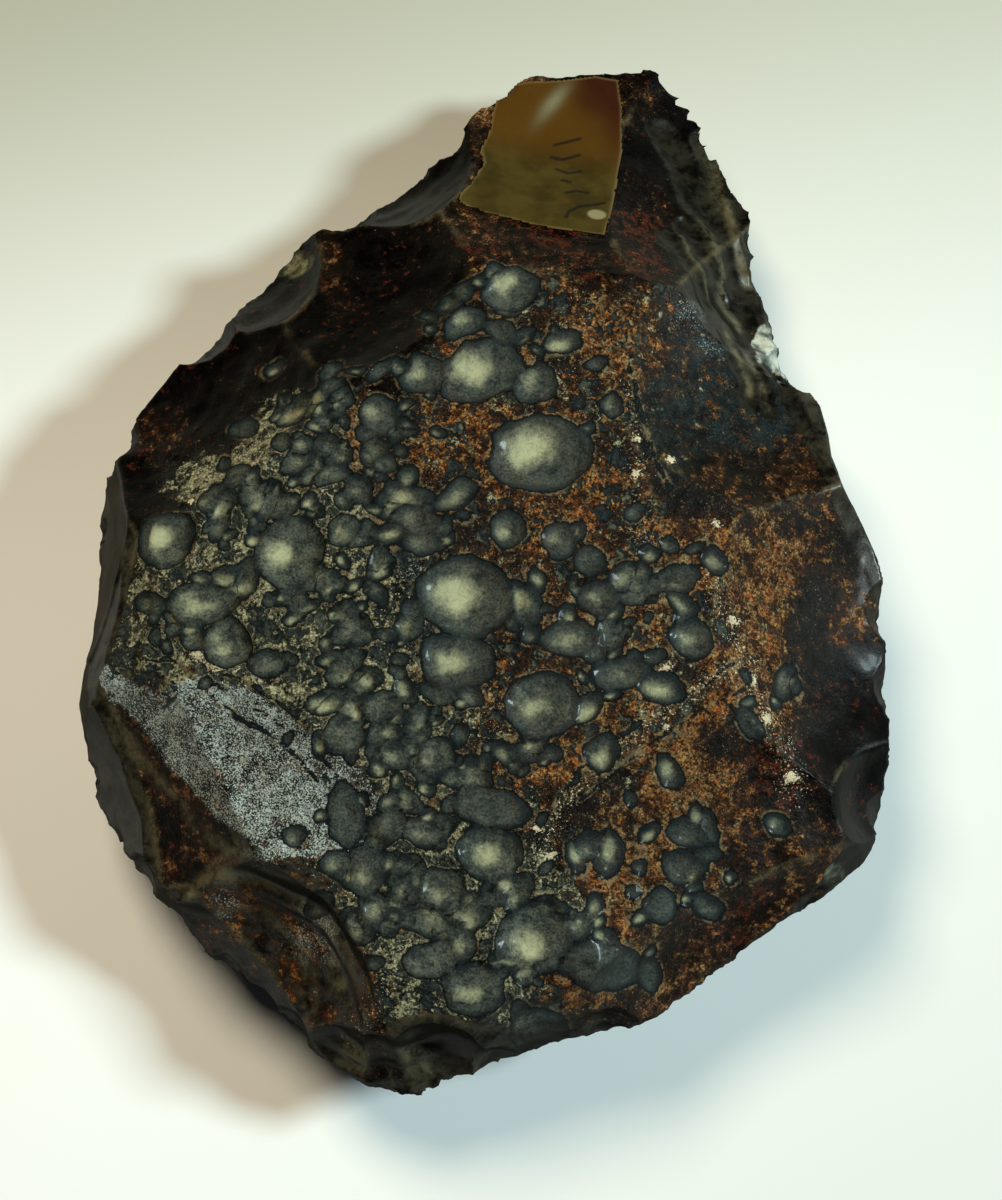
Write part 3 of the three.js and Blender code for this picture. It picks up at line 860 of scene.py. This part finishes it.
paint(stone, "tint", tint)
paint(stone, "skin", np.stack([rust, crust, silver], 1))
paint(stone, "marks", np.stack([pale_and_highlight, np.clip(edge / 4 + 0.5, 0, 1), crumb], 1))
paint(stone, "forms", np.stack([red, ash, wear_and_highlight], 1))
paint(stone, "hollows", np.stack([np.clip((second - edge) / 2, 0, 1), density, fresh], 1))
# Steep sides are painted dark: a near-black matte stands for the shade that falls on them.
steep = 1 - rise(normals_of(stone)[:, 2], 0.30, 0.72)
paint(stone, "sides", np.stack([steep, steep, steep], 1))


def read(place, name):
    """A colour stored on the mesh, and its three parts as masks."""
    colour = place.put("ShaderNodeAttribute", {"attribute_name": name}, {}, "Color")
    parts = colour.put("ShaderNodeSeparateColor", {}, {0: colour})
    node = parts.socket.node
    return colour, [Wire(place.tree, node.outputs[k]) for k in range(3)]


def grain(place, size, detail=3.0, roughness=0.6):
    """Cloudy noise from 0 to 1 whose largest forms are about this many millimetres wide."""
    sockets = {"Vector": place, "Scale": 1 / size, "Detail": detail, "Roughness": roughness}
    return place.put("ShaderNodeTexNoise", {}, sockets, "Fac")


material, shader, place = start_material("dark_flint")
tint_wire = read(place, "tint")[0]
rust_wire, crust_wire, silver_and_glint_wire = read(place, "skin")[1]
pale_and_highlight_wire, edge_wire, crumb_wire = read(place, "marks")[1]
red_wire, ash_wire, wear_and_highlight_wire = read(place, "forms")[1]


def moved(place, offset):
    """The same places shifted, so that a second noise differs from the first."""
    return place.put("ShaderNodeVectorMath", {"operation": "ADD"}, {0: place, 1: offset})


seam_wire, density_wire, fresh_wire = read(place, "hollows")[1]
cloud = grain(place, 2.4, 6.0, 0.72)
speck = grain(place, 1.5, 6.0, 0.78)
other = grain(moved(place, (31, 7, 12)), 1.3, 5.0, 0.75)
third = grain(moved(place, (-17, 23, 5)), 1.8, 6.0, 0.75)
fine = grain(place, 0.25, 3.0, 0.6)
dust = grain(moved(place, (3, 11, 9)), 0.32, 4.0, 0.7)
glint = grain(moved(place, (5, 2, 7)), 0.19, 2.0, 0.6)
pores = grain(moved(place, (9, 2, 5)), 0.55, 3.0, 0.65)

# How far each place lies beyond the rim of the nearest pit, in millimetres, minus inside it.
beyond_edge = (edge_wire - 0.5) * 4 + (fine - 0.5) * 0.25 + (speck - 0.5) * 0.9 + (cloud - 0.5) * 0.9
glaze_wire = 1 - beyond_edge.step(-0.02, 0.06)


def vector(operation, first, second, out="Vector"):
    """Vector arithmetic on two places or plain triples."""
    sockets = {0: first, 1: second}
    return place.put("ShaderNodeVectorMath", {"operation": operation}, sockets, out)


def little_pits(size, offset):
    """Crowded little hollows: what covers them, their dark outline, their gleam, which is a painted
    highlight, and their height.
    """
    warp = place.put("ShaderNodeTexNoise", {}, {"Vector": place, "Scale": 0.8, "Detail": 3.0}, "Color")
    warp = vector("MULTIPLY", vector("SUBTRACT", warp, (0.5, 0.5, 0.5)), (5.0, 5.0, 0))
    level_place = vector("MULTIPLY", moved(place, offset), (1, 1, 0))
    level_place = vector("ADD", level_place, warp)
    sockets = {"Vector": level_place, "Scale": 1 / size, "Randomness": 0.9}
    cell = place.put("ShaderNodeTexVoronoi", {"voronoi_dimensions": "2D"}, sockets, "Distance")
    ends = cell.socket.node.outputs
    lot = place.put("ShaderNodeSeparateColor", {}, {0: Wire(place.tree, ends["Color"])})
    lots = [Wire(place.tree, lot.socket.node.outputs[k]) for k in range(3)]
    share = cell.math("DIVIDE", cell, lots[0] * 0.24 + 0.24)
    there = (density_wire - lots[1]).step(0.0, 0.02) * beyond_edge.step(0.1, 0.3)
    covered = (1 - share.step(0.93, 1.0)) * there
    line = share.step(0.88, 0.98) * (1 - share.step(1.04, 1.2)) * there
    apart = vector("SUBTRACT", level_place, Wire(place.tree, ends["Position"]))
    apart = vector("ADD", apart, (0.14 * size, 0.10 * size, 0))
    far = vector("LENGTH", apart, (0, 0, 0), "Value") * (1 / size)
    gleam = (1 - far.step(0.02, 0.42)) * covered * (lots[2] * 0.75 + 0.1)
    return covered, line, gleam, covered * (share * share - 1)


def cover(share, noise_wire):
    """Where grains that cover this share of the ground lie."""
    return (share + (noise_wire - 0.5) * 2.2).step(0.45, 0.56) * share.step(0.0, 0.05)


# The colours of what lies on the flint, with painted glints, highlights and shade among them. A pair is
# the dark and the light of one kind of grain.
GROUND_SHADE = (0.22, 0.22, 0.22, 1), (1.9, 1.9, 1.9, 1)
RED_GRAINS = (0.018, 0.004, 0.002, 1), (0.10, 0.018, 0.007, 1)
RUST_STAIN = (0.008, 0.004, 0.002, 1), (0.060, 0.022, 0.008, 1)
RUST_SHADE = (0.028, 0.010, 0.004, 1)
OCHRE = (0.42, 0.130, 0.027, 1), (0.44, 0.255, 0.085, 1)
ASH_GRAINS = (0.035, 0.040, 0.030, 1), (0.46, 0.44, 0.27, 1)
WORN_RIDGE_AND_HIGHLIGHT = (0.092, 0.076, 0.042, 1)
PAINTED_SILVER_GLINT = (0.42, 0.50, 0.49, 1)
PORE = (0.003, 0.0025, 0.002, 1)
FLECK = (0.36, 0.32, 0.19, 1)
RIM_DUST = (0.16, 0.13, 0.075, 1)
GLAZE = (0.010, 0.016, 0.017, 1), (0.070, 0.082, 0.070, 1)
GLAZE_RIM = (0.010, 0.016, 0.018, 1)
PALE_PATINA_AND_HIGHLIGHT = (0.34, 0.35, 0.22, 1)
PIT_OUTLINE = (0.004, 0.006, 0.006, 1)
CREAM_CRUMB = (0.55, 0.48, 0.33, 1)
PAINTED_SIDE_SHADE = (0.012, 0.011, 0.008, 1)

pit_one, line_one, gleam_one, height_one = little_pits(2.7, (0, 0, 0))
pit_two, line_two, gleam_two, height_two = little_pits(1.5, (40, 13, 0))
free = 1 - pit_one
deep = cloud.step(0.36, 0.64).blend(*GROUND_SHADE)
both = {0: 1.0, 6: tint_wire, 7: deep}
colour = deep.put("ShaderNodeMix", {"data_type": "RGBA", "blend_type": "MULTIPLY"}, both, 2)
reds = cover(red_wire, other)
colour = (reds * 0.9).blend(colour, fine.step(0.35, 0.7).blend(*RED_GRAINS))
rusts = cover(rust_wire, speck)
stain = (rust_wire * 1.8 + (speck - 0.5) * 2.4).step(0.35, 0.95)
colour = (stain * 0.8).blend(colour, other.step(0.35, 0.65).blend(*RUST_STAIN))
ochre = third.step(0.40, 0.60).blend(*OCHRE)
orange = dust.step(0.35, 0.68).blend(RUST_SHADE, ochre)
colour = (rusts * cloud.step(0.30, 0.62)).blend(colour, orange)
ashes = cover(ash_wire, third)
colour = ashes.blend(colour, dust.step(0.33, 0.70).blend(*ASH_GRAINS))
colour = (wear_and_highlight_wire * speck.step(0.34, 0.58) * 0.85).blend(colour, WORN_RIDGE_AND_HIGHLIGHT)
# Painted glints: pale blue-grey grains on the silver scar and the glinting places stand for reflected
# light.
painted_glint = (glint + silver_and_glint_wire * 0.17 + (cloud - 0.5) * 0.55 + (dust - 0.5) * 0.4).step(0.58, 0.78)
painted_glint = painted_glint * silver_and_glint_wire.step(0.0, 0.4)
colour = painted_glint.blend(colour, PAINTED_SILVER_GLINT)
glazed = glaze_wire.math("MAXIMUM", glaze_wire, pit_one.math("MAXIMUM", pit_one, pit_two * free))
colour = (pores.step(0.50, 0.57) * crust_wire.step(0.1, 0.6) * 0.8).blend(colour, PORE)
flecks = (glint + (speck - 0.5) * 0.5).step(0.66, 0.72) * crust_wire.step(0.2, 0.7)
colour = (flecks * 0.8).blend(colour, FLECK)
halo = beyond_edge.step(0.08, 0.18) * (1 - beyond_edge.step(0.25, 0.5)) * crust_wire.step(0.1, 0.5)
colour = (halo * speck.step(0.45, 0.58) * 0.7).blend(colour, RIM_DUST)
glaze_colour = (dust * 0.5 + third * 0.5).step(0.36, 0.64).blend(*GLAZE)
glaze_colour = beyond_edge.step(-1.1, -0.1).blend(glaze_colour, GLAZE_RIM)
colour = (glazed * 0.93).blend(colour, glaze_colour)
# The pale patches in the pits are partly pale patina and partly painted highlight, fading towards the
# rims.
uneven = (pale_and_highlight_wire + (cloud - 0.5) * 0.8 + (third - 0.5) * 0.7).step(0.05, 1.20)
uneven = uneven * pale_and_highlight_wire.step(0.0, 0.3)
milk_and_highlight = uneven.math("MAXIMUM", uneven, (gleam_one + gleam_two * free) * (1 - pale_and_highlight_wire))
milk_and_highlight = milk_and_highlight * (0.60 + dust * 0.9) * (1 - beyond_edge.step(-0.6, 0.0) * 0.6)
colour = milk_and_highlight.step(0.0, 1.0).blend(colour, PALE_PATINA_AND_HIGHLIGHT)
outline = beyond_edge.step(-0.24, -0.08) * (1 - beyond_edge.step(0.02, 0.12))
seam = (1 - (seam_wire * 2 + (fine - 0.5) * 0.12).step(0.04, 0.22)) * glaze_wire
outline = outline.math("MAXIMUM", outline, seam + (line_one + line_two * free) * (1 - glaze_wire))
colour = (outline * 0.85).blend(colour, PIT_OUTLINE)
cream = (crumb_wire + (dust - 0.5) * 2.6).step(0.56, 0.62) * crumb_wire.step(0.02, 0.1)
cream = cream * (1 - glaze_wire)
colour = cream.blend(colour, CREAM_CRUMB)
feed(shader, "Base Color", colour)
rough = 0.30 + crust_wire * 0.03 + glaze_wire * 0.22 + pale_and_highlight_wire * 0.20 + cream * 0.3
feed(shader, "Roughness", rough + fresh_wire * 0.4)
shader.inputs["Specular IOR Level"].default_value = 0.10
bareness = (1 - crust_wire).step(0.2, 1.0) * 0.05 * (1 - fresh_wire)
feed(shader, "Coat Weight", bareness + glazed * 0.05 * (1 - pale_and_highlight_wire) + silver_and_glint_wire * 0.2)
shader.inputs["Coat Roughness"].default_value = 0.13
height = (speck - 0.5) * crust_wire * 0.40 + (fine - 0.5) * (crust_wire + 0.15) * 0.10
height = height + height_one * 0.22 + height_two * free * 0.12 - outline * 0.10
height = height + (dust - 0.5) * silver_and_glint_wire * 0.16 + (rusts + ashes) * 0.03
bump = height.put("ShaderNodeBump", {}, {"Height": height, "Distance": MM, "Strength": 1.0}, "Normal")
feed(shader, "Normal", bump)
# Painted shade: on steep sides a near-black matte diffuse covers most of the glossy surface.
steep_wire = read(place, "sides")[1][0]
side_shade = place.put("ShaderNodeBsdfDiffuse", {}, {"Color": PAINTED_SIDE_SHADE}, "BSDF")
shine = Wire(place.tree, shader.outputs["BSDF"])
mixed = place.put("ShaderNodeMixShader", {}, {0: steep_wire * 0.85, 1: shine, 2: side_shade})
place.tree.links.new(mixed.socket, place.tree.nodes["Material Output"].inputs["Surface"])
stone.data.materials.clear()
stone.data.materials.append(material)
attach(stone, "root")
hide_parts("flint_body")


# The label is a piece of old paper, torn on its left, stained brown towards the point and
# crossed by a few faded pen strokes.
LABEL_OUTLINE = [
    (-12.6, 63.7), (-12.8, 59.1), (-12.6, 56.3), (-13.1, 52.4), (-12.2, 50.2), (-13.2, 45.7),
    (-14.1, 43.3), (-14.1, 41.9), (-10.9, 40.9), (-6.8, 40.5), (-2.7, 39.9), (2.0, 39.9),
    (5.8, 40.0), (6.1, 44.1), (6.0, 51.0), (5.8, 56.5), (4.7, 63.5), (3.4, 68.6), (0.0, 68.6),
    (-4.7, 67.0), (-8.5, 66.0), (-11.0, 65.0),
]
STROKES = [
    [(-3.4, 55.6), (-1.9, 56.3), (-0.2, 57.2)],
    [(-3.5, 53.3), (-2.0, 53.1), (0.2, 54.4)],
    [(-2.4, 51.2), (-0.8, 50.7), (0.9, 51.4)],
    [(-1.2, 49.2), (-0.2, 48.9)],
    [(-0.4, 46.9), (0.9, 47.5), (2.4, 47.5)],
    [(4.9, 46.1), (3.4, 45.3), (1.6, 44.6), (0.5, 43.3), (0.4, 42.2)],
]
bpy.ops.object.select_all(action="DESELECT")
bpy.ops.mesh.primitive_grid_add(x_subdivisions=106, y_subdivisions=148, size=1)
label = bpy.context.object
label.name = "label"
grid = corners(label) * MM
grid = grid * [21.2, 29.6, 0] + [-4.0, 54.3, 40.0]
set_corners(label, grid)
modify(label, "SHRINKWRAP", target=stone, wrap_method="PROJECT", use_project_z=True,
       use_negative_direction=True, offset=0.15 * MM)

# Only what lies inside the torn outline and on the stone is kept.
grid = corners(label)
flat = grid * [1, 1, 0]
torn = 0.25 * noise(flat, 1.2, 81, 2) * rise(-grid[:, 0], 8, 12) + 0.06 * noise(flat, 0.8, 82)
keep = inside_outline(grid[:, 0] + torn, grid[:, 1] + torn, LABEL_OUTLINE)
keep &= (grid[:, 2] > 9) & (grid[:, 2] < 30)
bpy.ops.object.mode_set(mode="EDIT")
bpy.ops.mesh.select_mode(type="VERT")
bpy.ops.mesh.select_all(action="DESELECT")
bpy.ops.object.mode_set(mode="OBJECT")
label.data.vertices.foreach_set("select", ~keep)
bpy.ops.object.mode_set(mode="EDIT")
bpy.ops.mesh.delete(type="VERT")
bpy.ops.object.mode_set(mode="OBJECT")
modify(label, "SMOOTH", factor=0.5, iterations=12, use_x=False, use_y=False)
modify(label, "SOLIDIFY", thickness=0.2 * MM, offset=1.0)
bpy.ops.object.shade_smooth_by_angle(angle=math.radians(40))

grid = corners(label)
px, py = grid[:, 0], grid[:, 1]
ink = np.zeros(len(grid))
for line in STROKES:
    ink = np.maximum(ink, 1 - rise(far_from_line(px, py, line), 0.14, 0.36))
edge = far_from_line(px, py, LABEL_OUTLINE + LABEL_OUTLINE[:1])
blur = 2.0 * noise(grid, 6, 91, 2)
red = rise(py + 0.9 * px + blur, 56, 68) * rise(px + blur, -7, 0)
orange = rise(py + 0.3 * blur, 50, 58)
# A pale streak near the top of the label is a painted highlight of its gloss.
gloss_highlight = np.exp(-((px + 5.0 + 0.35 * (62.5 - py)) / 1.1) ** 2 - ((py - 62.8) / 3.4) ** 2)
blotch = 1 - rise(np.hypot((px - 4.2) / 1.6, (py - 43.7) / 1.1) + 0.1 * blur, 0.75, 1.0)
paint(label, "stain", np.stack([orange, red, gloss_highlight], 1))
paint(label, "pen", np.stack([ink, blotch, 1 - rise(edge, 0.15, 0.5)], 1))

OLD_PAPER = (0.030, 0.021, 0.0045, 1), (0.052, 0.037, 0.008, 1)
BROWN_STAIN = (0.066, 0.031, 0.004, 1)
RED_STAIN = (0.030, 0.008, 0.003, 1)
PAINTED_GLOSS_HIGHLIGHT = (0.16, 0.16, 0.095, 1)
DARK_FIBRE = (0.02, 0.012, 0.005, 1)
TORN_EDGE = (0.15, 0.11, 0.045, 1)
PALE_BLOTCH = (0.22, 0.20, 0.11, 1)
INK = (0.006, 0.007, 0.006, 1)
material, shader, place = start_material("old_paper")
orange_wire, red_wire, gloss_highlight_wire = read(place, "stain")[1]
ink_wire, blotch_wire, edge_wire = read(place, "pen")[1]
fibre = grain(place, 0.5, 4.0, 0.65)
spots = grain(place, 4.0, 3.0, 0.6)
colour = spots.step(0.35, 0.65).blend(*OLD_PAPER)
colour = orange_wire.blend(colour, BROWN_STAIN)
colour = red_wire.blend(colour, RED_STAIN)
colour = (gloss_highlight_wire * 0.8).blend(colour, PAINTED_GLOSS_HIGHLIGHT)
colour = (fibre.step(0.55, 0.75) * 0.35).blend(colour, DARK_FIBRE)
colour = (edge_wire * 0.5).blend(colour, TORN_EDGE)
colour = (blotch_wire * 0.85).blend(colour, PALE_BLOTCH)
colour = (ink_wire * (0.6 + fibre * 0.4)).blend(colour, INK)
feed(shader, "Base Color", colour)
feed(shader, "Roughness", 0.5 + fibre * 0.2)
shader.inputs["Specular IOR Level"].default_value = 0.08
height = (fibre - 0.5) * 0.03
feed(shader, "Normal", height.put("ShaderNodeBump", {}, {"Height": height, "Distance": MM}, "Normal"))
label.data.materials.append(material)
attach(label, "root")
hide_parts("paper_label")
